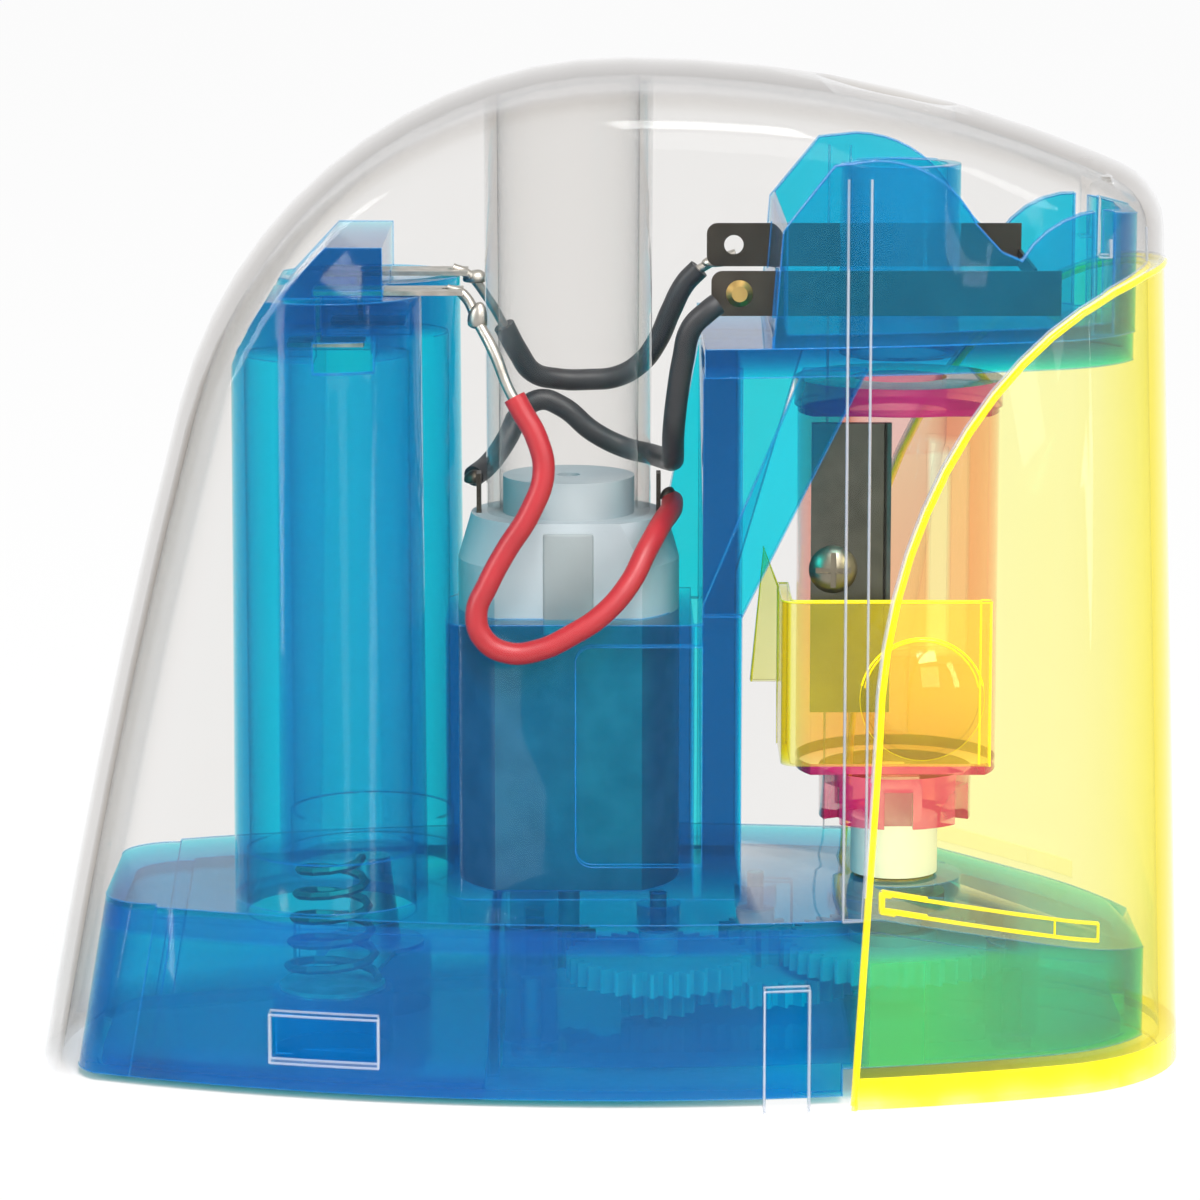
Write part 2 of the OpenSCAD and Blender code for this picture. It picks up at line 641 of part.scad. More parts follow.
// ---- gear train ----
function centre(a, b) = gear_m * (a + b) / 2;
motor_p = [motor_x, 0];
spindle_p = [spindle_x, 0];
stage1 = centre(pinion_teeth, first_teeth);
stage2 = centre(small_teeth, second_teeth);
stage3 = centre(small_teeth, spindle_teeth);
first_p = motor_p + stage1 * dir(first_angle);
first_to_spindle = spindle_p - first_p;
span = norm(first_to_spindle);
second_turn = acos((stage2 * stage2 + span * span - stage3 * stage3) / (2 * stage2 * span));
second_angle = atan2(first_to_spindle.y, first_to_spindle.x) + second_turn;
second_p = first_p + stage2 * dir(second_angle);
third_angle = atan2(spindle_p.y - second_p.y, spindle_p.x - second_p.x);
// Turn of a wheel that puts its gap on a tooth of its driver: the driver has a tooth at `turn`.
function mesh_turn(turn, driver, follower, angle) =
    angle + 180 - (180 - (angle - turn) * driver) / follower;
first_turn = mesh_turn(0, pinion_teeth, first_teeth, first_angle);
second_gear_turn = mesh_turn(first_turn, small_teeth, second_teeth, second_angle);
spindle_gear_turn = mesh_turn(second_gear_turn, small_teeth, spindle_teeth, third_angle);
backlash = 0.16;
module gear(teeth, h) {
    r = gear_m * teeth / 2;
    foot_r = r - 1.25 * gear_m;
    tip_r = r + 0.95 * gear_m;
    half = (PI * gear_m / 2 - backlash) / 2;
    tip = half - 0.95 * gear_m * tan(20);
    foot = half + 1.25 * gear_m * tan(20);
    linear_extrude(h) polygon([for (i = [0:teeth - 1])
        let (a = 360 * i / teeth) each [
            foot_r * dir(a - foot / r * 180 / PI), tip_r * dir(a - tip / r * 180 / PI),
            tip_r * dir(a + tip / r * 180 / PI), foot_r * dir(a + foot / r * 180 / PI)
        ]]);
}
module bored(r, z0, z1) difference() {
    children();
    translate([0, 0, z0 - 1]) cylinder(r = r, h = z1 - z0 + 2);
}
second_z = floor_top + 0.9;
first_z = second_z + wheel_t + 0.6;
axle_top = deck_z - 0.6;
motor_boss_r = 3;
module at(p) translate([p.x, p.y, 0]) children();
module first_gear() color("white") at(first_p) rotate(first_turn) bored(axle_r + run_gap, 0, 20) union() {
    translate([0, 0, first_z]) gear(first_teeth, wheel_t);
    translate([0, 0, second_z - 0.4]) gear(small_teeth, first_z - second_z + 0.5);
    translate([0, 0, first_z + wheel_t - eps]) cylinder(r = 1.8, h = deck_z - deck_t - 2.4 - first_z - wheel_t);
}
module second_gear() color("white") at(second_p) rotate(second_gear_turn) bored(axle_r + run_gap, 0, 20) union() {
    translate([0, 0, second_z]) gear(second_teeth, wheel_t);
    translate([0, 0, second_z + wheel_t - eps]) gear(small_teeth, first_z - second_z + 0.6);
    translate([0, 0, second_z + wheel_t]) cylinder(r = 1.8, h = deck_z - deck_t - 2.5 - second_z - wheel_t);
}
module spindle_gear() color("white") at(spindle_p) rotate(spindle_gear_turn) bored(journal_r + eps, 0, 20) union() {
    translate([0, 0, first_z]) gear(spindle_teeth, wheel_t);
    translate([0, 0, first_z + wheel_t - eps]) cylinder(r = journal_r + 1.6, h = 1);
}
module motor_pinion() color("gold") at(motor_p) bored(shaft_r + eps, 0, 20) translate([0, 0, first_z - 0.4]) gear(pinion_teeth, 3.4);
module axle(p) color("silver") at(p) translate([0, 0, tub_step_z + 0.4]) cylinder(r = axle_r, h = axle_top - tub_step_z - 0.4);
module first_axle() axle(first_p);
module second_axle() axle(second_p);

// ---- spindle and cutter ----
bush_r = journal_r + 1.2;
bush_z = deck_z - deck_t - 1.4;
module spindle_bush() color("goldenrod") at(spindle_p) bored(journal_r + run_gap, 0, 20) union() {
    translate([0, 0, bush_z]) cylinder(r = bush_r, h = deck_z + 0.1 - bush_z);
    translate([0, 0, bush_z]) cylinder(r = bush_r + 1, h = deck_z - deck_t - bush_z - eps);
}
key = 2.4; // half the width of the square on top of the spindle
module spindle() color("ivory") at(spindle_p) {
    translate([0, 0, floor_top + 0.4]) cylinder(r = journal_r, h = deck_z - floor_top);
    translate([0, 0, tub_step_z + 0.4]) cylinder(r = axle_r, h = 3);
    translate([0, 0, deck_z + 0.3]) cylinder(r = spindle_r, h = collar_z - deck_z - 0.3);
    translate([-key, -key, collar_z - 1]) cube([2 * key, 2 * key, 4]);
}
blade_y = -4.6; // front face of the cutter body, where the blade lies
blade_cx = -4.5;
cone_top = flange_z - 3;
cone_tip = 36;
module cutter_body() color("hotpink", 0.8) at(spindle_p) difference() {
    union() {
        translate([0, 0, flange_z - eps]) cylinder(r = flange_r, h = flange_t);
        intersection() {
            translate([0, 0, body_z - eps]) cylinder(r = cutter_r, h = flange_z - body_z + 2 * eps);
            slab(-20, 20, 0, 90, blade_y, 20);
        }
        translate([0, 0, collar_z + 0.05]) cylinder(r = collar_r, h = body_z - collar_z);
    }
    rotate_extrude() polygon([
        [0, cone_tip - 6], [1.2, cone_tip - 6], [1.2, cone_tip + 0.8],
        [pencil_r + 0.15, cone_top], [pencil_r + 0.15, 90], [0, 90]
    ]);
    slab(blade_cx + blade_w / 2, 4.6, cone_tip + 2, cone_top - 1, -20, 0.5); // shavings leave here
    slab(3.2, cutter_r - 2.4, cone_tip, cone_top - 1, 2.2, 20);
    slab(-cutter_r + 2.4, -3.2, cone_tip, cone_top - 1, 2.2, 20);
    translate([blade_cx - 1.6, blade_y - 1, blade_screw_z]) rotate([-90, 0, 0]) cylinder(r = 1 + run_gap, h = 5);
    for (a = [30:60:330]) rotate(a) slab(collar_r - 1.6, 12, 0, body_z - 1.2, -1.3, 1.3);
    slab(-key - run_gap, key + run_gap, 0, collar_z + 3.2, -key - run_gap, key + run_gap);
}
module blade() color("darkslategray") at(spindle_p) difference() {
    slab(blade_cx - blade_w / 2, blade_cx + blade_w / 2, blade_z, blade_z + blade_l, blade_y - blade_t - eps, blade_y - eps);
    translate([blade_cx + blade_w / 2, blade_y - blade_t - eps, 0]) rotate(-30) slab(-0.6, 4, 0, 90, -4, 0);
    translate([blade_cx - 1.6, -20, blade_screw_z]) rotate([-90, 0, 0]) cylinder(r = 1 + run_gap, h = 40);
}
module blade_screw() color("lightgray") at(spindle_p) translate([blade_cx - 1.6, blade_y - blade_t - 2 * eps, blade_screw_z]) {
    rotate([-90, 0, 0]) cylinder(r = 1, h = 4);
    difference() {
        intersection() {
            translate([0, 1.6, 0]) sphere(r = 2.72);
            rotate([90, 0, 0]) cylinder(r = 2.2, h = 4);
        }
        slab(-3, 3, -0.25, 0.25, -5, -0.6);
        slab(-0.25, 0.25, -3, 3, -5, -0.6);
    }
}
band_x = [-10.75, 8.2]; // the band's front plate, from the axis
band_front = blade_y - blade_t - 0.7;
band_corner = 1.5;
bulge = [2, 34.5]; // place of the round bulge pressed into the band
bulge_r = 7.6;
bulge_deep = 2.5; // how far it stands out
fin_reach = 13.25;
fin_z = [34.6, 47];
module bulge_ball(r) translate([bulge.x, band_front - band_t - bulge_deep + bulge_r, bulge.y]) sphere(r = r);
module band_plate() {
    translate([0, 0, band_z]) linear_extrude(band_h) {
        translate([band_x[0] + band_corner, band_front - band_t])
            square([band_x[1] - band_x[0] - band_corner, band_t]);
        intersection() {
            translate([band_x[0] + band_corner, band_front + band_corner - band_t]) difference() {
                circle(r = band_corner);
                circle(r = band_corner - band_t);
            }
            translate([band_x[0], band_front - band_t]) square(band_corner + eps);
        }
        translate([band_x[0], band_front + band_corner - band_t - eps]) square([band_t, 9]);
        translate([band_x[1] - band_t, band_front - eps]) square([band_t, 0.5]);
    }
    side_cut(1, 1 + band_t) polygon([
        [band_x[0] + eps, fin_z[0]], [-fin_reach, fin_z[0]], [-fin_reach + 1.1, fin_z[1]], [band_x[0] + eps, fin_z[1] - 3.8]
    ]);
}
module clip_band() color("gold", 0.7) at(spindle_p) difference() {
    union() {
        band_plate();
        intersection() {
            bulge_ball(bulge_r);
            slab(band_x[0], band_x[1] + 5, band_z, band_z + band_h, -30, band_front - eps);
        }
    }
    intersection() {
        bulge_ball(bulge_r - band_t);
        slab(band_x[0], band_x[1] + 5, 0, 90, -30, band_front + eps);
    }
}

// ---- motor ----
module motor_can() color("silver") at(motor_p) difference() {
    translate([0, 0, deck_z + 0.05]) linear_extrude(can_h) motor_outline(0);
    translate([0, 0, deck_z + 1]) linear_extrude(can_h) motor_outline(-0.6);
    cylinder(r = shaft_r + run_gap, h = 40);
}
cap_z = deck_z + can_h + 0.05 + eps;
cap_shoulder_r = can_r - 1.2;
terminal_x = can_r - 1.9;
notch = [-2.2, 1.8];
module motor_end_cap() color("whitesmoke") at(motor_p) difference() {
    union() {
        intersection() {
            translate([0, 0, cap_z]) linear_extrude(cap_body_h) motor_outline(0);
            union() {
                translate([0, 0, cap_z]) cylinder(r = can_r + 1, h = cap_body_h / 2);
                translate([0, 0, cap_z + cap_body_h / 2 - eps])
                    cylinder(r1 = can_r + 0.1, r2 = cap_shoulder_r, h = cap_body_h / 2 + eps);
            }
        }
        translate([0, 0, cap_z - 1]) linear_extrude(1.2) motor_outline(-0.7);
        translate([0, 0, cap_z + cap_body_h - eps]) cylinder(r = cap_boss_r, h = cap_boss_h);
    }
    translate([0, 0, cap_z - 2]) cylinder(r = can_r - 3.4, h = 6);
    cylinder(r = shaft_r + run_gap, h = 60);
    side_cut(-20, -can_flat + 1.6) rounded(notch[0], notch[1], cap_z - 3, cap_z + cap_body_h - 1, 1.2);
    for (s = [-1, 1]) slab(s * terminal_x - 0.25, s * terminal_x + 0.25, cap_z + 5, 90, -1.1 - eps, 1.1 + eps);
}
module motor_terminals() color("dimgray") at(motor_p) for (s = [-1, 1]) difference() {
    slab(s * terminal_x - 0.2, s * terminal_x + 0.2, cap_z + 5.4, cap_z + cap_body_h + 3.6, -1.1, 1.1);
    translate([s * terminal_x - 2, 0, cap_z + cap_body_h + 2.6]) rotate([0, 90, 0]) cylinder(r = 0.5, h = 4);
}
module motor_magnets() color("dimgray") at(motor_p) for (s = [-1, 1]) intersection() {
    translate([0, 0, deck_z + 4]) linear_extrude(16) difference() {
        circle(r = can_r - 0.7);
        circle(r = can_r - 2.4);
    }
    slab(s > 0 ? 3 : -20, s > 0 ? 20 : -3, 0, 60, -can_flat + 0.8, can_flat - 0.8);
}
module motor_brushes() color("goldenrod") at(motor_p) for (s = [-1, 1])
    slab(s > 0 ? 1.55 : -6, s > 0 ? 6 : -1.55, cap_z + 0.6, cap_z + 2.8, -0.9, 0.9);
module motor_armature() color("peru") at(motor_p) bored(shaft_r + eps, 0, 60) union() {
    translate([0, 0, deck_z + 5]) linear_extrude(14) difference() {
        circle(r = 6.6);
        for (a = [0:120:240]) rotate(a) translate([3, -0.6]) square([6, 1.2]);
        for (a = [0:120:240]) rotate(a + 60) translate([6.6, 0]) circle(r = 0.8);
    }
    translate([0, 0, deck_z + 18]) cylinder(r = 1.5, h = cap_z + 3 - deck_z - 18);
}
module motor_shaft() color("silver") at(motor_p)
    translate([0, 0, first_z - 0.6]) cylinder(r = shaft_r, h = cap_z + cap_body_h + 1 - first_z);

// ---- bottom ----
module gearbox_floor() color("royalblue", 0.8) difference() {
    intersection() {
        footprint(tub_inset + tub_wall + slide_gap, tub_step_z, floor_top);
        slab(tub_rib_x + slide_gap, tub_right - tub_wall - slide_gap, 0, 20);
    }
    for (p = [first_p, second_p, spindle_p]) translate([p.x, p.y, tub_step_z + 0.4]) cylinder(r = axle_r + run_gap / 2, h = 5);
    for (p = screws) translate([p.x, p.y, 0]) {
        cylinder(r = screw_r + run_gap, h = 20);
        cylinder(r = screw_head_r + run_gap, h = tub_step_z + 0.6);
    }
}
screw_l = 6;
module floor_screws() color("silver") for (p = screws) translate([p.x, p.y, tub_step_z + 0.6]) difference() {
    union() {
        translate([0, 0, -0.8]) cylinder(r = screw_head_r, h = 0.8 - eps);
        translate([0, 0, -0.5]) cylinder(r = screw_r, h = plate + screw_l - 0.5);
    }
    slab(-1.2, 1.2, -1, -0.4, -0.2, 0.2);
    slab(-0.2, 0.2, -1, -0.4, -1.2, 1.2);
}
pedestal_z = 8;
module battery_door() color("royalblue", 0.8) {
    intersection() {
        footprint(tub_inset + tub_wall + slide_gap, tub_z, tub_z + plate);
        slab(-far_off, tub_rib_x - 1 - slide_gap, 0, 20);
    }
    for (p = tubes) translate([p.x, p.y, tub_z + plate - eps]) cylinder(r = 5.5, h = pedestal_z - tub_z - plate + eps);
}
bridge_half = 3;
contact_cone_h = 8.1; // leaves the length of an AA cell, 50.5, under the contact plate
module contact_bridge() color("silver") {
    step = back_tube - front_tube;
    translate([front_tube.x, front_tube.y, pedestal_z + eps]) rotate(atan2(step.y, step.x)) linear_extrude(plate_t) {
        translate([0, -bridge_half]) square([norm(step), 2 * bridge_half]);
        circle(r = 4.8);
        translate([norm(step), 0]) circle(r = 4.8);
    }
    translate([back_tube.x, back_tube.y, pedestal_z + plate_t])
        cylinder(r1 = 2.6, r2 = 1.6, h = contact_cone_h);
}
// A tube swept along points: rings of `sides` corners square to the route.
function unit(v) = v / norm(v);
function side_of(t) = unit(cross(t, abs(t.z) < 0.9 ? [0, 0, 1] : [1, 0, 0]));
module tube(points, radii, sides = 8) {
    n = len(points);
    ring_points = [for (i = [0:n - 1])
        let (t = unit(points[min(i + 1, n - 1)] - points[max(i - 1, 0)]), u = side_of(t), v = cross(t, u))
            for (k = [0:sides - 1]) points[i] + radii[i] * (u * cos(360 * k / sides) + v * sin(360 * k / sides))];
    faces = concat(
        [for (i = [0:n - 2]) for (k = [0:sides - 1])
            let (a = i * sides + k, b = i * sides + (k + 1) % sides) each [[a, a + sides, b], [b, a + sides, b + sides]]],
        [[for (k = [0:sides - 1]) k]],
        [[for (k = [sides - 1:-1:0]) (n - 1) * sides + k]]
    );
    polyhedron(points = ring_points, faces = faces);
}
module contact_spring() color("silver") {
    steps = 12;
    n = spring_turns * steps;
    base = pedestal_z + plate_t + spring_wire_r + 2 * eps;
    path = [for (i = [0:n])
        let (f = i / n, r = 4.2 - 1.4 * f)
            [front_tube.x + r * cos(360 * i / steps), front_tube.y + r * sin(360 * i / steps),
                base + (spring_h - 2 * spring_wire_r) * f]];
    tube(path, [for (i = [0:n]) spring_wire_r], 6);
}

// ---- contacts and switch ----
tab_reach = -13.2;
contact_z = tube_bore_z + 0.8;
module battery_tab(p) color("silver") {
    difference() {
        slab(holder_x[0] + 3.1, tab_reach, tab_z, tab_z + plate_t, p.y - tab_w / 2, p.y + tab_w / 2);
        translate([tab_reach - 1.4, p.y, tab_z - 5]) cylinder(r = 0.5, h = 10);
    }
    slab(p.x - 3.4, p.x + 3.4, contact_z, contact_z + plate_t, p.y - 2.3, p.y + 2.3);
    slab(p.x + tab_leg[0], p.x + tab_leg[1], contact_z, tab_z + plate_t / 2, p.y - 1.2, p.y + 1.2);
}
module front_battery_tab() battery_tab(front_tube);
module back_battery_tab() battery_tab(back_tube);
leaf_x = [post_x - 2.8, post_x + 2.1, right_reach - 12.65];
leaf_y = half_depth(leaf_x[2], block_inset + block_wall) - leaf_gap;
front_leaf_z = block_bottom + 2;
back_leaf_z = front_leaf_z + 2.4;
module leaf_tab(z, y) side_cut(y, y + leaf_t) rounded(leaf_x[0], leaf_x[1] + 0.6, z, z + leaf_w, 1);
module leaf_slots() {
    slab(block_x[0] - 1, block_x[0] + block_wall + 1, front_leaf_z - 0.1, front_leaf_z + leaf_w + 0.1, -leaf_y - 0.6, -leaf_y + 1.6);
    slab(block_x[0] - 1, block_x[0] + block_wall + 1, back_leaf_z - 0.1, back_leaf_z + leaf_w + 0.1, leaf_y - 0.1, leaf_y + leaf_t + 0.1);
}
module front_switch_leaf() color("dimgray") difference() {
    union() {
        leaf_tab(front_leaf_z, -leaf_y);
        slab(leaf_x[1] - 0.5, leaf_x[2], front_leaf_z, front_leaf_z + leaf_w, -leaf_y, -leaf_y + leaf_t);
    }
    translate([leaf_x[0] + 2.5, -20, front_leaf_z + leaf_w / 2]) rotate([-90, 0, 0]) cylinder(r = rivet_r, h = 40);
}
module back_switch_leaf() color("dimgray") difference() {
    union() {
        leaf_tab(back_leaf_z, leaf_y);
        slab(leaf_x[1] - 0.5, leaf_x[2] - 2, back_leaf_z, back_leaf_z + leaf_w, leaf_y, leaf_y + leaf_t);
        slab(leaf_x[2] - 2.3, leaf_x[2] - 2, back_leaf_z, front_leaf_z + leaf_w, -leaf_y + 2.2, leaf_y + leaf_t);
    }
    translate([leaf_x[0] + 2.5, 0, back_leaf_z + leaf_w / 2]) rotate([-90, 0, 0]) cylinder(r = 0.9, h = 40);
}
rivet_r = 0.7;
module leaf_rivet() color("lightgray") translate([leaf_x[0] + 2.5, -leaf_y + leaf_t / 2, front_leaf_z + leaf_w / 2])
    rotate([90, 0, 0]) {
        cylinder(r = rivet_r - eps, h = leaf_t + 0.2, center = true);
        for (s = [0, 1]) mirror([0, 0, s]) translate([0, 0, leaf_t / 2 + eps]) cylinder(r1 = rivet_r + 0.5, r2 = rivet_r, h = 0.5);
    }

// ---- wires: hand-placed routes, bare at the ends ----
function radii(points, first, final) = [for (i = [0:len(points) - 1]) i < first || i >= len(points) - final ? bare_r : wire_r];
// The routes are drawn for a battery tab at this height, and stretch with it above the motor.
drawn_tab_z = 71.6;
function hung(route) = [for (p = route)
    p + [0, 0, (tab_z - drawn_tab_z) * max(0, p.z - column_z) / (drawn_tab_z - column_z)]];
red_route = [
    [-13.4, -8.2, 71.1], [-11.8, -9, 69], [-10.4, -10, 66.5], [-9.2, -10.6, 63.5], [-8.6, -10.8, 62.6],
    [-8, -11, 61.5], [-6.6, -11.6, 59], [-6, -12, 56], [-7.2, -12.4, 52.5], [-9.4, -12.6, 49], [-11, -12.8, 46],
    [-12, -12.9, 43.5], [-11.4, -12.9, 41.2], [-9.3, -12.9, 39.9], [-6.5, -12.8, 40.1], [-3.6, -12.6, 41.4],
    [-0.8, -12.2, 43.2], [1.6, -11.2, 45.8], [3.2, -9.4, 48.6], [4.6, -6.4, 50.6], [5.5, -3.2, 51.4], [5.6, -1.2, 51.8],
    [5.2, 0, 52.4]
];
battery_route = [
    [-13.4, 8.4, 71.1], [-11.5, 8.8, 69.4], [-9.9, 9.6, 66.6], [-8.6, 10.4, 64], [-7.2, 11.2, 62], [-5, 12, 61.3],
    [-2, 12.2, 61.2], [0.6, 12.1, 61.5], [2.8, 11.8, 62.8], [4.4, 11.4, 65], [5.6, leaf_y + 1.5, 67.8],
    [6.9, leaf_y + 1.1, 70.4], [8.2, leaf_y + 0.9, 71.8], [9.8, leaf_y + 0.9, 72.6], [11.3, leaf_y + 0.9, 72.9]
];
switch_route = [
    [9.4, -leaf_y - 1, 71], [8.6, -leaf_y - 1.2, 70.4], [7.1, -leaf_y - 0.8, 68.8], [6.4, -9.8, 66], [5.9, -9.4, 62.6], [5.6, -8.4, 59.4],
    [5.6, -5, 56.6], [5.6, 0, 55.4], [5.2, 4.4, 54.8], [3.6, 8, 54.8], [1.2, 9.6, 55.2], [-1.6, 9.8, 56.6],
    [-4.6, 9.9, 59], [-6.6, 9.9, 59.6], [-8.4, 9.6, 58.4], [-9.6, 8.6, 56.2], [-11.2, 6, 54.2], [-12.6, 3.2, 53.4],
    [-12.9, 1.2, 53.1], [-12.8, 0, 53]
];
module red_wire() color("crimson") tube(hung(red_route), radii(red_route, 4, 1));
module battery_wire() color("black") tube(hung(battery_route), radii(battery_route, 3, 3));
module switch_wire() color("black") tube(hung(switch_route), radii(switch_route, 1, 2));

// ---- cover ----
floor_z = 0.3;
cover_rib_z = 1.6;
cover_rib_x = cover_curve_x + 0.4;
module cover_rib() intersection() {
    difference() {
        linear_extrude(40) plan(wall / 2);
        translate([0, 0, -1]) linear_extrude(50) plan(wall + rib_t);
    }
    side_cut(-60, 60) polygon([
        [cover_rib_x, deck_top(cover_rib_x) + 0.8], [cover_rib_x, deck_top(cover_rib_x) + 0.8 + cover_rib_z],
        [right_reach, deck_top(right_reach) + 0.8 + cover_rib_z], [right_reach, deck_top(right_reach) + 0.8]
    ]);
    slab(cover_x, nose_x + nose_r / 2, 0, 40);
}
module shavings_cover() color("yellow", 0.6) as_mesh() union() {
    intersection() {
        shell();
        cover_side(0);
    }
    intersection() {
        translate([0, 0, floor_z]) linear_extrude(cover_floor_t) plan(wall / 2);
        slab(cover_x + 0.5, far_off, 0, 10);
    }
    cover_rib();
}

clear_casing();
shavings_cover();
chassis();
guide_block();
gearbox_floor();
floor_screws();
battery_door();
contact_bridge();
contact_spring();
front_battery_tab();
back_battery_tab();
motor_can();
motor_end_cap();
motor_terminals();
motor_magnets();
motor_brushes();
motor_armature();
motor_shaft();
motor_pinion();
first_gear();
first_axle();
second_gear();
second_axle();
spindle_gear();
spindle();
spindle_bush();
cutter_body();
blade();
blade_screw();
clip_band();
front_switch_leaf();
back_switch_leaf();
leaf_rivet();
red_wire();
battery_wire();
switch_wire();
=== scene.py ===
import math

import bmesh
import bpy
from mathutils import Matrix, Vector


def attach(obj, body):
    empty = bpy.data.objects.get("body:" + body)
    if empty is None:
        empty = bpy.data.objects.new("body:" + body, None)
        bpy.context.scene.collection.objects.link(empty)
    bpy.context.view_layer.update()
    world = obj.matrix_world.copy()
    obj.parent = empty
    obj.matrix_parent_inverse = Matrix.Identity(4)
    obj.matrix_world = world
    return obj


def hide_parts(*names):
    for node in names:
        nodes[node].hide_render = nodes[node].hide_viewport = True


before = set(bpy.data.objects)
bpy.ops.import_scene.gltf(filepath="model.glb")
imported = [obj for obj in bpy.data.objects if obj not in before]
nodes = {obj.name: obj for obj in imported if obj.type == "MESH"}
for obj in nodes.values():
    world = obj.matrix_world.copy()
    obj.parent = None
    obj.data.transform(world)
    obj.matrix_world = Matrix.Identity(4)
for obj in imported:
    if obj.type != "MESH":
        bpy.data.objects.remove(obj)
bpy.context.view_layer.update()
MM = 0.001

MERGE = 2e-6  # metres, under which two corners of a node are one
SHARP = 32  # degrees, over which an edge is bevelled and shaded sharp

# Heights in millimetres
COVER_LIP = 2.9  # top of the thick lower rim of the cover
SOCKET_TOP, COLLAR_FOOT = 28, 60  # the thin stretch of the cutter body lies between them
NO_LIP, NO_COLLAR = 0, 999  # for a piece without them: the floor, and far above everything
BAND_FOOT = 28.6  # lower edge of the clip band


# ---- small tools ----
def linear(red, green, blue):
    """A colour written as 0 to 255 on screen, as the shader wants it."""
    shares = (red / 255, green / 255, blue / 255)
    return tuple(c / 12.92 if c < 0.04045 else ((c + 0.055) / 1.055) ** 2.4 for c in shares) + (1,)


def deselect():
    bpy.ops.object.select_all(action="DESELECT")


def pick(piece):
    deselect()
    piece.select_set(True)
    bpy.context.view_layer.objects.active = piece


def settle(piece, name, material, body):
    """Bakes the place into the mesh, names the piece and lets it ride on its body."""
    pick(piece)
    bpy.ops.object.transform_apply(location=True, rotation=True, scale=True)
    piece.name = piece.data.name = name
    piece.data.materials.clear()
    piece.data.materials.append(material)
    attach(piece, body)
    return piece


def smooth(piece, angle):
    pick(piece)
    bpy.ops.object.shade_smooth_by_angle(angle=math.radians(angle))


def use_modifier(piece, kind, **settings):
    pick(piece)
    modifier = piece.modifiers.new(kind.title(), kind)
    for key, value in settings.items():
        setattr(modifier, key, value)
    bpy.ops.object.modifier_apply(modifier=modifier.name)


# ---- shader maths ----
class Value:
    """One output of a shader node. Arithmetic on it adds Math nodes."""

    def __init__(self, finish, socket):
        self.finish, self.socket = finish, socket

    def maths(self, operation, *inputs):
        return self.finish.add("ShaderNodeMath", {"operation": operation}, *inputs)

    def __add__(self, other):
        return self.maths("ADD", self, other)

    def __rsub__(self, other):
        return self.maths("SUBTRACT", other, self)

    def __mul__(self, other):
        return self.maths("MULTIPLY", self, other)

    def __pow__(self, other):
        return self.maths("POWER", self, other)

    def at_most(self, limit):
        return self.maths("MINIMUM", self, limit)

    __radd__, __rmul__ = __add__, __mul__


class Finish:
    """A material under construction, or the world if one is given."""

    def __init__(self, name, owner=None):
        self.material = owner or bpy.data.materials.new(name)
        self.material.use_nodes = True
        self.tree = self.material.node_tree
        self.tree.nodes.clear()

    def put(self, node, sockets):
        for key, value in sockets.items():
            if isinstance(value, Value):
                self.tree.links.new(value.socket, node.inputs[key])
            else:
                node.inputs[key].default_value = value

    def add(self, kind, settings=None, *inputs, sockets=None, output=0):
        node = self.tree.nodes.new(kind)
        for key, value in (settings or {}).items():
            setattr(node, key, value)
        self.put(node, {**dict(enumerate(inputs)), **(sockets or {})})
        return Value(self, node.outputs[output])

    def place(self, scale=(1, 1, 1)):
        """The spot on the piece, in metres, with each direction scaled."""
        spot = self.add("ShaderNodeTexCoord", output="Object")
        return self.add("ShaderNodeMapping", sockets={"Vector": spot, "Scale": scale})

    def noise(self, size, detail=2, stretch=(1, 1, 1)):
        """Noise between 0 and 1 with features of about that size in metres."""
        return self.add("ShaderNodeTexNoise", sockets={
            "Vector": self.place(stretch), "Scale": 1 / size, "Detail": detail})

    def band(self, value, low, high, to_low=0.0, to_high=1.0):
        """Takes a value from one range to another and stops at its ends."""
        return self.add("ShaderNodeMapRange", {"clamp": True}, value, low, high, to_low, to_high)

    def blend(self, factor, first, second):
        """A colour between two colours."""
        node = self.tree.nodes.new("ShaderNodeMix")
        node.data_type = "RGBA"
        self.put(node, {0: factor, 6: first, 7: second})
        return Value(self, node.outputs[2])

    def bump(self, height, strength, distance):
        return self.add("ShaderNodeBump", sockets={
            "Height": height, "Strength": strength, "Distance": distance})

    def facing(self):
        """0 where a surface is met face on, 1 where it is grazed."""
        return self.add("ShaderNodeLayerWeight", sockets={"Blend": 0.5}, output="Facing")

    def plastic(self, colour, roughness, **sockets):
        return self.add("ShaderNodeBsdfPrincipled", sockets={
            "Base Color": colour, "Roughness": roughness, **sockets})

    def mix(self, factor, first, second):
        return self.add("ShaderNodeMixShader", None, factor, first, second)

    def done(self, surface, volume=None):
        kind = "World" if isinstance(self.material, bpy.types.World) else "Material"
        out = self.tree.nodes.new("ShaderNodeOutput" + kind)
        self.tree.links.new(surface.socket, out.inputs["Surface"])
        if volume:
            self.tree.links.new(volume.socket, out.inputs["Volume"])
        return self.material


def dress(material, *names):
    for name in names:
        node = nodes[name]
        node.data.materials.clear()
        node.data.materials.append(material)


# ---- finishes ----
def absorbing(f, absorb):
    """The colour that builds up with depth. absorb is the loss of red, green and blue per millimetre."""
    most = max(absorb)
    return f.add("ShaderNodeVolumeAbsorption", sockets={
        "Color": tuple(1 - a / most for a in absorb) + (1,), "Density": most / MM})


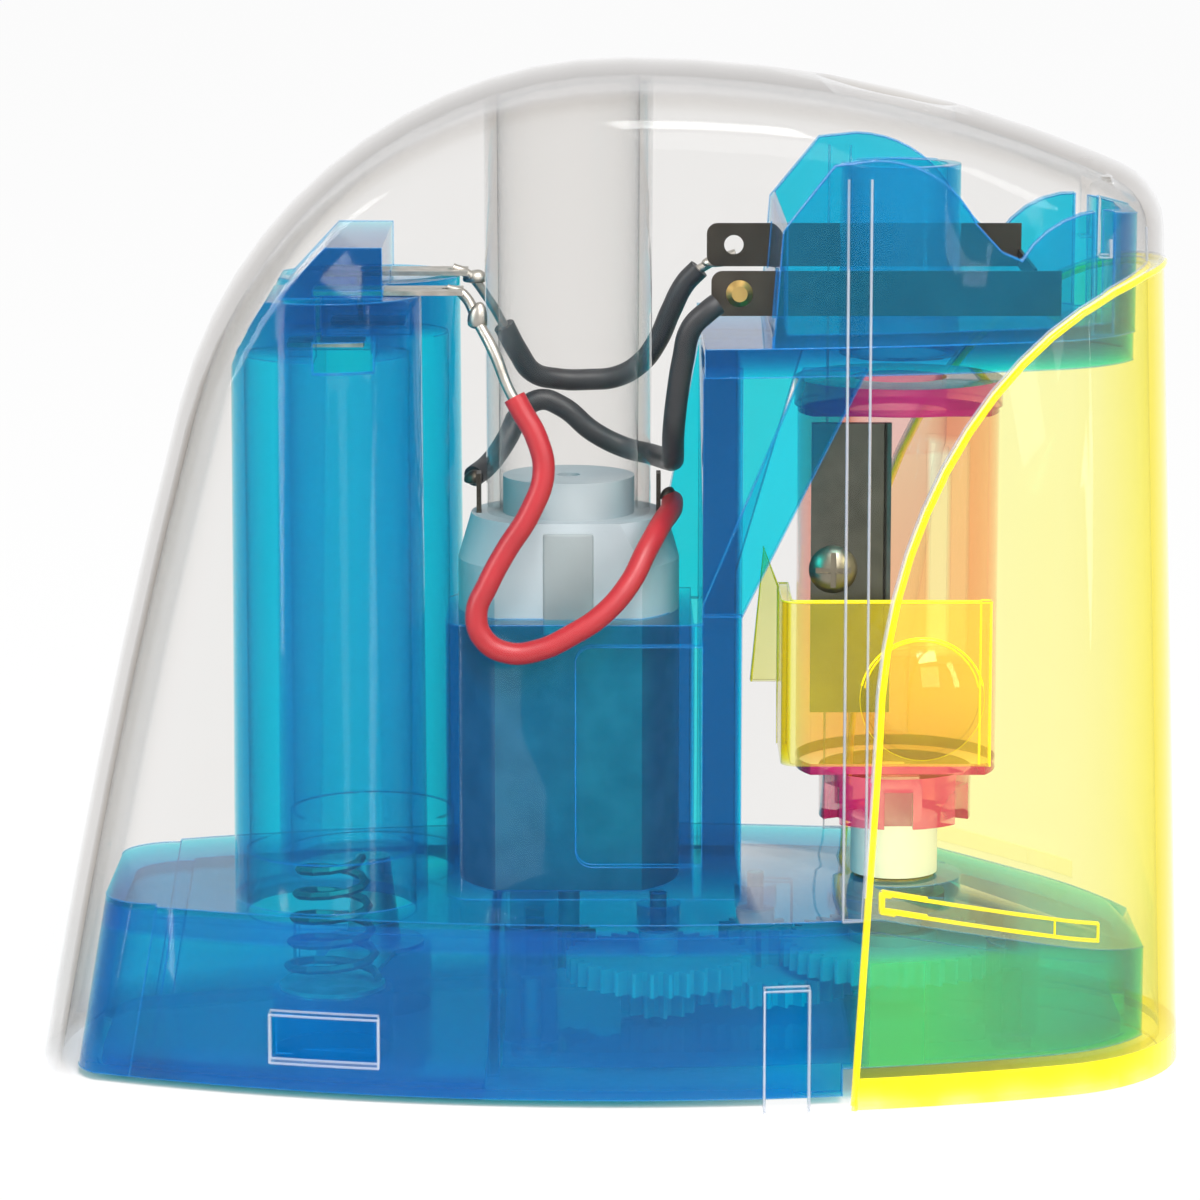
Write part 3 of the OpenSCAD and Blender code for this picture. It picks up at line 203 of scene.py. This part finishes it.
def see_through(f, share, skin, absorb, gloss=0.005):
    """Mixes the skin of a see-through piece over what lies behind it, on its outer side only,
    and lays a polish over both. gloss is how much of it shows face on."""
    clear = f.add("ShaderNodeBsdfTransparent", sockets={"Color": (1, 1, 1, 1)})
    shine = f.add("ShaderNodeBsdfAnisotropic", sockets={"Color": (1, 1, 1, 1), "Roughness": 0.04})
    outer = 1 - f.add("ShaderNodeNewGeometry", output="Backfacing")
    veiled = f.mix(outer * share, clear, skin)
    polish = f.band(f.facing() ** 5, 0, 1, gloss, 0.7)
    return f.done(f.mix(outer * polish, veiled, shine), absorbing(f, absorb))


def tinted_plastic(name, absorb, sheen, body, edge, haze=0.01, rough=0.05, gloss=0.005, grain=0.08,
                   foot=False):
    """Moulded see-through plastic: body is how milky it is, edge how much its slanting sides show.
    With a foot, it is milkier below the deck, where the light has further to go. The end of the
    deck and the lower hem are darker with painted shade, and the foot under the cutter is lighter
    and greener with painted light."""
    f = Finish(name)
    smudge = f.noise(0.008, 1)
    tone = f.blend(smudge, sheen, tuple(0.84 * part for part in sheen[:3]) + (1,))
    share = f.band(f.facing() ** 3, 0, 1, body, edge) + haze * f.band(smudge, 0.45, 0.8)
    if foot:
        place = f.add("ShaderNodeTexCoord", output="Object")
        along = f.add("ShaderNodeSeparateXYZ", None, place, output="X")
        height = f.add("ShaderNodeSeparateXYZ", None, place, output="Z")

        def beyond(value, low, high):
            """0 up to the lower place and 1 from the higher one on, both in millimetres."""
            return f.band(value, low * MM, high * MM)

        left = 1 - beyond(along, 16, 24)
        milk = 1 - beyond(height, 13, 16.5)
        # painted shade: the end of the deck and the lower hem are darkened towards a deep blue
        deck = beyond(height, 13.8, 14.4) * (1 - beyond(height, 16.1, 16.4))
        hem = 1 - beyond(height, 1.5, 4.5)
        # painted light: the foot under the cutter is made lighter and greener, as if lit through
        under_cutter = beyond(along, 21.2, 23.2) * (1 - 0.65 * beyond(along, 28, 50))
        painted_light = (1 - beyond(height, 12.8, 14.4)) * under_cutter
        share = share + (0.2 * milk + 0.35 * (deck + hem)) * left + 0.45 * painted_light
        tone = f.blend(0.6 * (deck + hem), tone, linear(0, 60, 140))
        tone = f.blend(painted_light, tone, linear(0, 178, 128))
    skin = f.plastic(tone, rough + 0.12 * smudge, **{
        "Specular IOR Level": 0.1, "Normal": f.bump(f.noise(0.002, 0), grain, 0.0002)})
    return see_through(f, share, skin, absorb, gloss)


def painted_edge_light(name, colour, shade, body, absorb):
    """A painted line of light along a moulded edge, where the light leaves the plastic, mottled with a
    darker painted shade.
    """
    f = Finish(name)
    patch = f.noise(0.005, 1)
    skin = f.plastic(f.blend(patch, colour, shade), 0.12 + 0.15 * patch, **{"Specular IOR Level": 0.2})
    return see_through(f, f.band(patch, 0.3, 0.7, 0.65 * body, body), skin, absorb)


def metal(name, colour, dark, rough=0.3, size=0.002, stretch=(1, 1, 1), stain=0.4):
    """Bare or plated metal with fine drawn lines and darker stains."""
    f = Finish(name)
    cloud = f.noise(size, 4)
    lines = f.noise(size / 4, 3, stretch)
    tone = f.blend(f.band(cloud, 0.5 - stain / 2, 0.9), colour, dark)
    return f.done(f.plastic(
        tone, rough + 0.25 * lines * cloud, Metallic=1.0, Normal=f.bump(lines, 0.15, 0.0001)))


def solid_plastic(name, colour, shade, rough=0.4, size=0.004):
    """Plastic, rubber or ferrite that light doesn't pass."""
    f = Finish(name)
    grain = f.noise(0.0004, 2)
    return f.done(f.plastic(
        f.blend(f.noise(size, 3), colour, shade), rough + 0.15 * grain, Normal=f.bump(grain, 0.1, 0.0001)))


# Loss of red, green and blue per millimetre
CLEAR, BLUE, TEAL = (0.045, 0.050, 0.056), (2.4, 0.115, 0.065), (2.4, 0.20, 0.09)
YELLOW, AMBER, PINK = (0.008, 0.02, 0.24), (0.015, 0.06, 0.75), (0.012, 0.085, 0.105)

clear_plastic = tinted_plastic(
    "clear_plastic", CLEAR, linear(184, 186, 192), 0.003, 0.55, haze=0.003, gloss=0.009)
blue_plastic = tinted_plastic("blue_plastic", BLUE, linear(0, 118, 196), 0.16, 0.4, foot=True)
teal_plastic = tinted_plastic("teal_plastic", TEAL, linear(0, 124, 168), 0.3, 0.45, rough=0.3, grain=0.02)
yellow_plastic = tinted_plastic("yellow_plastic", YELLOW, linear(255, 240, 130), 0.05, 0.4, gloss=0.012)
band_plastic = tinted_plastic("band_plastic", AMBER, linear(240, 215, 20), 0.28, 0.6, haze=0.1, gloss=0.03)
pink_plastic = tinted_plastic("pink_plastic", PINK, linear(232, 96, 92), 0.05, 0.5)

# Edge finishes: painted light along moulded edges and cut walls, mottled with darker painted shade
clear_edge = painted_edge_light("clear_edge", linear(205, 210, 218), linear(130, 138, 156), 0.6, CLEAR)
blue_edge = painted_edge_light("blue_edge", linear(0, 140, 215), linear(0, 80, 170), 0.55, BLUE)
blue_line = painted_edge_light("blue_line", linear(0, 140, 215), linear(0, 96, 180), 0.45, BLUE)
yellow_edge = painted_edge_light("yellow_edge", linear(253, 234, 16), linear(246, 220, 6), 0.92, YELLOW)
pink_edge = painted_edge_light("pink_edge", linear(225, 40, 120), linear(170, 20, 90), 0.8, PINK)

nylon = solid_plastic("nylon", linear(226, 226, 218), linear(205, 206, 200), 0.45)
cap_nylon = solid_plastic("cap_nylon", linear(172, 182, 186), linear(146, 158, 164), 0.45)
# painted shade for the motor cap's recess: a darker nylon
recess_painted_shade = solid_plastic("recess_painted_shade", linear(140, 149, 150), linear(122, 132, 134), 0.5)
gear_plastic = solid_plastic("gear_plastic", linear(205, 208, 204), linear(188, 192, 190), 0.4)
ferrite = solid_plastic("ferrite", linear(52, 52, 54), linear(38, 38, 40), 0.7, 0.001)
red_rubber = solid_plastic("red_sleeve", linear(176, 30, 40), linear(146, 20, 30), 0.35, 0.003)
black_rubber = solid_plastic("black_sleeve", linear(38, 40, 44), linear(26, 27, 30), 0.4, 0.003)

zinc = metal("zinc", linear(205, 204, 198), linear(150, 148, 142), 0.28)
can_metal = metal("can_metal", linear(160, 161, 158), linear(122, 123, 120), 0.32, 0.004, (1, 1, 0.05), 0.2)
blade_metal = metal("blade_metal", linear(96, 96, 88), linear(66, 66, 60), 0.34, 0.003, (0.06, 1, 1), 0.3)
dark_metal = metal("dark_metal", linear(80, 74, 66), linear(48, 44, 40), 0.42, 0.003)
spring_steel = metal("spring_steel", linear(120, 122, 114), linear(84, 86, 80), 0.5, 0.003)
screw_steel = metal("screw_steel", linear(150, 142, 124), linear(96, 90, 78), 0.25, 0.002)
tinned = metal("tinned", linear(190, 186, 178), linear(120, 114, 106), 0.3, 0.0015)
brass = metal("brass", linear(205, 172, 104), linear(150, 120, 70), 0.3)
copper = metal("copper", linear(186, 108, 66), linear(120, 66, 40), 0.35, 0.0012)

dress(blue_plastic, "gearbox_floor", "battery_door")
dress(nylon, "spindle")
dress(cap_nylon, "motor_end_cap")
dress(gear_plastic, "first_gear", "second_gear", "spindle_gear")
dress(zinc, "floor_screws", "contact_bridge", "first_axle", "second_axle", "motor_shaft")
dress(can_metal, "motor_can")
dress(blade_metal, "blade")
dress(dark_metal, "front_switch_leaf", "back_switch_leaf", "motor_terminals")
dress(tinned, "front_battery_tab", "back_battery_tab")
dress(spring_steel, "contact_spring")
dress(screw_steel, "blade_screw")
dress(brass, "motor_pinion", "leaf_rivet", "motor_brushes", "spindle_bush")
dress(copper, "motor_armature")
dress(ferrite, "motor_magnets")
dress(red_rubber, "red_wire")
dress(black_rubber, "battery_wire", "switch_wire")


# ---- moulded pieces: the nodes again, with soft edges that catch the light, in a finish of painted light lines ----
def copy_of(node, name):
    """A copy of a node as an object, and its merged mesh to work on."""
    piece = bpy.data.objects.new(name, nodes[node].data.copy())
    bpy.context.scene.collection.objects.link(piece)
    mesh = bmesh.new()
    mesh.from_mesh(piece.data)
    bmesh.ops.remove_doubles(mesh, verts=mesh.verts, dist=MERGE)
    return piece, mesh


def moulding(node, name, material, edge, body, width, flat=1.0, shadow=False, lip=NO_LIP,
             collar=NO_COLLAR):
    """A moulded piece with bevelled edges in a painted edge-light finish of their own, which its thick ends
    share:
    all below the lip and all above the foot of the collar. Its faces are cut at both heights."""
    piece, mesh = copy_of(node, name)
    bmesh.ops.dissolve_limit(mesh, angle_limit=math.radians(flat), verts=mesh.verts, edges=mesh.edges)
    for height in (lip, collar):
        everything = mesh.verts[:] + mesh.edges[:] + mesh.faces[:]
        bmesh.ops.bisect_plane(mesh, geom=everything, plane_co=(0, 0, height * MM), plane_no=(0, 0, 1))
    mesh.to_mesh(piece.data)
    mesh.free()
    settle(piece, name, material, body)
    piece.data.materials.append(edge)
    for face in piece.data.polygons:
        thick_end = not lip * MM < face.center.z < collar * MM
        face.material_index = 1 if thick_end and abs(face.normal.z) < 0.5 else 0
    use_modifier(piece, "BEVEL", width=width * MM, segments=1, limit_method="ANGLE",
                 angle_limit=math.radians(SHARP), material=1, use_clamp_overlap=True)
    smooth(piece, SHARP)
    piece.visible_shadow = shadow
    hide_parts(node)


moulding("clear_casing", "casing_skin", clear_plastic, clear_edge, "frame", 0.3, flat=0.3)
moulding("shavings_cover", "cover_skin", yellow_plastic, yellow_edge, "cover", 0.45, flat=0.3, lip=COVER_LIP)
moulding("chassis", "blue_chassis", blue_plastic, blue_edge, "frame", 0.2, shadow=True)
moulding("guide_block", "pencil_guide", teal_plastic, blue_edge, "frame", 0.2)
moulding("clip_band", "cutter_band", band_plastic, yellow_edge, "cutter", 0.25)
moulding("cutter_body", "cutter_shell", pink_plastic, pink_edge, "cutter", 0.15,
         lip=SOCKET_TOP, collar=COLLAR_FOOT)


# ---- fine painted lines of light where a cut wall ends ----
def edge_line(node, name, chosen, radius, material, body, turn=45):
    """A fine bead along the sharp edges of a node whose middles pass a test, in millimetres: a painted line
    of light in the edge finish it is given.
    """
    piece, mesh = copy_of(node, name)

    def wanted(edge):
        middle = (edge.verts[0].co + edge.verts[1].co) / 2 / MM
        return len(edge.link_faces) == 2 and edge.calc_face_angle(0) >= math.radians(turn) and chosen(middle)

    loose = [edge for edge in mesh.edges if not wanted(edge)]
    bmesh.ops.delete(mesh, geom=mesh.faces[:], context="FACES_ONLY")
    bmesh.ops.delete(mesh, geom=loose, context="EDGES")
    bmesh.ops.delete(mesh, geom=[corner for corner in mesh.verts if not corner.link_edges], context="VERTS")
    mesh.to_mesh(piece.data)
    mesh.free()
    pick(piece)
    bpy.ops.object.convert(target="CURVE")
    curve = bpy.context.active_object.data
    curve.bevel_depth, curve.bevel_resolution, curve.use_fill_caps = radius * MM, 2, True
    bpy.ops.object.convert(target="MESH")
    piece = bpy.context.active_object
    smooth(piece, 60)
    piece.visible_shadow = False
    settle(piece, name, material, body)


def on_rim(spot, spare):
    """Along the slanting cut between the casing and the cover."""
    return 0.5 < spot.z < 76 and 21.2 < spot.x < 24 + 25 * (spot.z / 74) ** 3 + spare


def on_cover_rib(spot):
    """Round the near side's raised rib, low on the cover."""
    return spot.x > 23 and 11 < spot.z < 21 and spot.y < -3


def in_opening(spot):
    """Round the snap window, the tall snap slot and the upright rib of the casing's sides."""
    window = -30.7 < spot.x < -20.5 and 3.6 < spot.z < 8.4
    slot = 13.4 < spot.x < 17.8 and spot.z < 11.4
    rib = 20.4 < spot.x < 22.8 and 15 < spot.z < 78
    return abs(spot.y) > 9 and (window or slot or rib)


def off_centre(spot):
    return abs(spot.y) > 4


edge_line("shavings_cover", "cover_rim", lambda s: on_rim(s, 3) and s.z > 2.4, 0.3, yellow_edge, "cover", 55)
edge_line("shavings_cover", "cover_rib_lines", on_cover_rib, 0.11, yellow_edge, "cover", 40)
edge_line("clear_casing", "casing_rim", lambda s: on_rim(s, 2) and s.x > 22.9, 0.12, clear_edge, "frame", 55)
edge_line("clear_casing", "opening_lines", in_opening, 0.13, clear_edge, "frame", 40)
edge_line("chassis", "chassis_lines", off_centre, 0.08, blue_line, "frame")
edge_line("guide_block", "guide_lines", off_centre, 0.09, blue_line, "frame")
edge_line("clip_band", "band_lines", lambda s: abs(s.z - BAND_FOOT) > 7, 0.11, yellow_edge, "cutter")


# ---- solder, and painted shade in the recess of the motor cap ----
def solder(name, spot, size, material):
    """A drop of solder: a ball drawn out along its wire and flattened underneath."""
    deselect()
    bpy.ops.mesh.primitive_uv_sphere_add(segments=20, ring_count=12, radius=1, location=(0, 0, 0))
    piece = bpy.context.active_object
    flat = -0.2
    for vertex in piece.data.vertices:
        if vertex.co.z < flat:
            vertex.co.z = flat + (vertex.co.z - flat) * 0.3
        vertex.co.x += 0.25 * vertex.co.z ** 2
        vertex.co.y *= 1 + 0.15 * vertex.co.x
    piece.scale = Vector(size) * MM
    piece.location = Vector(spot) * MM
    smooth(piece, 60)
    settle(piece, name, material, "frame")


solder("red_solder", (-11.9, -8.9, 69.2), (0.9, 0.7, 1.7), tinned)
solder("battery_solder", (-12.6, 8.7, 71), (1.1, 0.8, 0.9), tinned)
solder("switch_solder", (9.6, 10.3, 72.3), (1.2, 0.7, 0.8), tinned)
solder("red_terminal_solder", (5.2, -1.2, 52.2), (0.7, 0.9, 0.9), dark_metal)
solder("switch_terminal_solder", (-12.7, 2.6, 53.2), (0.8, 1.0, 0.9), dark_metal)

# The panel in the motor cap's recess, in a darker nylon: painted shade for the shadow in the recess
deselect()
bpy.ops.mesh.primitive_cube_add(size=MM, location=(0, 0, 0))
panel = bpy.context.active_object
panel.scale, panel.location = (4.6, 0.8, 9.4), Vector((-3.85, -7.4, 45.1)) * MM
bpy.ops.object.transform_apply(location=True, rotation=True, scale=True)
use_modifier(panel, "BEVEL", width=0.3 * MM, segments=3)
smooth(panel, 40)
settle(panel, "cap_recess", recess_painted_shade, "frame")


# ---- wires ----
def wire_along(name, route, radius, material, ends=None):
    """A round wire through the points of a route, with a radius factor for each point if given."""
    curve = bpy.data.curves.new(name, "CURVE")
    curve.dimensions, curve.use_fill_caps = "3D", True
    curve.bevel_depth, curve.bevel_resolution, curve.resolution_u = radius * MM, 6, 8
    spline = curve.splines.new("BEZIER")
    spline.bezier_points.add(len(route) - 1)
    for point, spot, factor in zip(spline.bezier_points, route, ends or [1] * len(route)):
        point.co = Vector(spot) * MM
        point.handle_left_type = point.handle_right_type = "AUTO"
        point.radius = factor
    piece = bpy.data.objects.new(name, curve)
    bpy.context.scene.collection.objects.link(piece)
    pick(piece)
    bpy.ops.object.convert(target="MESH")
    smooth(piece, 40)
    return settle(bpy.context.active_object, name, material, "frame")


red_route = [
    (-8.6, -10.8, 62.6), (-8, -11, 61.5), (-6.6, -11.6, 59), (-6, -12, 56), (-7.2, -12.4, 52.5),
    (-9.4, -12.6, 49), (-11, -12.8, 46), (-12, -12.9, 43.5), (-11.4, -12.9, 41.2), (-9.3, -12.9, 39.9),
    (-6.5, -12.8, 40.1), (-3.6, -12.6, 41.4), (-0.8, -12.2, 43.2), (1.6, -11.2, 45.8), (3.2, -9.4, 48.6),
    (4.6, -6.4, 50.6), (5.5, -3.2, 51.4), (5.6, -1.2, 51.8)]
battery_route = [
    (-9.9, 9.6, 66.6), (-8.6, 10.4, 64), (-7.2, 11.2, 62), (-5, 12, 61.3), (-2, 12.2, 61.2),
    (0.6, 12.1, 61.5), (2.8, 11.8, 62.8), (4.4, 11.4, 65), (5.6, 11, 67.8), (6.9, 10.6, 70.4),
    (8.2, 10.4, 71.8)]
switch_route = [
    (9.4, -11.2, 71), (8.6, -11.4, 70.4), (7.1, -11, 68.8), (6.4, -10.3, 66), (5.9, -9.5, 62.6),
    (5.6, -8.4, 59.4), (5.6, -5, 56.6), (5.6, 0, 55.4), (5.2, 4.4, 54.8), (3.6, 8, 54.8), (1.2, 9.6, 55.2),
    (-1.6, 9.8, 56.6), (-4.6, 9.9, 59), (-6.6, 9.9, 59.6), (-8.4, 9.6, 58.4), (-9.6, 8.6, 56.2),
    (-11.2, 6, 54.2), (-12.6, 3.2, 53.4)]
for name, route, material, node in (
        ("red_sleeve", red_route, red_rubber, "red_wire"),
        ("battery_sleeve", battery_route, black_rubber, "battery_wire"),
        ("switch_sleeve", switch_route, black_rubber, "switch_wire")):
    sleeve = wire_along(name, route, 1.0, material)
    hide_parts(node)

# The bare ends, twisted and tinned
wire_along("red_strands", [
    (-14.6, -8, 72.1), (-13.2, -8.2, 71.5), (-11.8, -9, 69), (-10.4, -10, 66.5), (-9.2, -10.6, 63.5),
    (-8.4, -10.9, 62)], 0.5, tinned, [0.6, 1, 1, 1.1, 1, 1])
wire_along("battery_strands", [
    (-14.6, 8.3, 72.1), (-13.2, 8.4, 71.5), (-11.5, 8.9, 69.4), (-9.9, 9.6, 66.6),
    (-8.8, 10.3, 64.4)], 0.45, tinned)
wire_along("switch_strands", [(8, 10.4, 71.6), (9.8, 10.4, 72.6), (11.6, 10.3, 73.2)], 0.45, tinned)


# ---- camera, floor and light ----
def aim(thing, spot):
    thing.rotation_mode = "QUATERNION"
    thing.rotation_quaternion = (Vector(spot) - thing.location).to_track_quat("-Z", "Y")


RISE, DISTANCE = math.radians(10), 0.45
camera = bpy.data.objects.new("camera", bpy.data.cameras.new("camera"))
bpy.context.scene.collection.objects.link(camera)
target = Vector((-0.99, 0, 42.4)) * MM
camera.location = target + Vector((0, -math.cos(RISE), math.sin(RISE))) * DISTANCE
aim(camera, target)
camera.data.lens, camera.data.sensor_width = 147.15, 36
bpy.context.scene.camera = camera


def lamp(name, spot, at, width, height, power):
    light = bpy.data.lights.new(name, "AREA")
    light.shape, light.size, light.size_y, light.energy = "RECTANGLE", width, height, power
    piece = bpy.data.objects.new(name, light)
    bpy.context.scene.collection.objects.link(piece)
    piece.location = spot
    aim(piece, at)


lamp("top_softbox", (0.12, -0.4, 0.62), (0, 0, 0.04), 0.3, 0.2, 5)
lamp("left_softbox", (-0.7, -0.45, 0.35), (0, 0, 0.05), 0.15, 0.5, 4)
lamp("right_softbox", (0.65, -0.5, 0.4), (0, 0, 0.05), 0.12, 0.5, 2)
lamp("front_softbox", (0.2, -0.7, 0.4), (0.03, 0, 0.07), 0.35, 0.4, 2)


def in_sight(f):
    """1 for what is seen, reflected or seen through glass, 0 for light that falls on things."""
    paths = f.tree.nodes.new("ShaderNodeLightPath")
    camera_ray, glossy_ray, through_glass = (
        Value(f, paths.outputs[name]) for name in ("Is Camera Ray", "Is Glossy Ray", "Is Transmission Ray"))
    return (camera_ray + glossy_ray + through_glass).at_most(1.0)


def table_finish():
    """White where it is seen, and plain paper for the light. Behind the left half of the
    see-through shells the paper shows, so that they stand out from the white."""
    f = Finish("table_white")
    layers = f.add("ShaderNodeLightPath", output="Transparent Depth").at_most(1.0)
    middle = f.add("ShaderNodeVectorMath", {"operation": "ADD"}, f.place((0.8, 1, 1)), (0.022, 0, 0))
    away = f.add("ShaderNodeVectorMath", {"operation": "LENGTH"}, middle, output="Value")
    near = f.band(away, 0.03, 0.075, 1, 0)
    paper = f.add("ShaderNodeBsdfDiffuse", sockets={"Color": (0.85, 0.85, 0.85, 1)})
    glow = f.add("ShaderNodeEmission", sockets={"Color": (1, 1, 1, 1), "Strength": 1.0})
    return f.done(f.mix(in_sight(f) * 0.94 * (1 - layers * near), paper, glow))


bpy.ops.mesh.primitive_circle_add(vertices=96, radius=3, fill_type="NGON", location=(0, 0, 0))
floor = bpy.context.active_object
floor.name = "table"
floor.data.materials.append(table_finish())

bpy.context.scene.world = bpy.data.worlds.new("studio")
sky = Finish("studio", bpy.context.scene.world)
dim, white = (
    sky.add("ShaderNodeBackground", sockets={"Color": (1, 1, 1, 1), "Strength": strength})
    for strength in (0.5, 1.0))
sky.done(sky.mix(in_sight(sky), dim, white))

cycles = bpy.context.scene.cycles
cycles.transparent_max_bounces, cycles.max_bounces = 64, 4
cycles.diffuse_bounces, cycles.glossy_bounces = 1, 2
bpy.context.scene.view_settings.view_transform = "Standard"
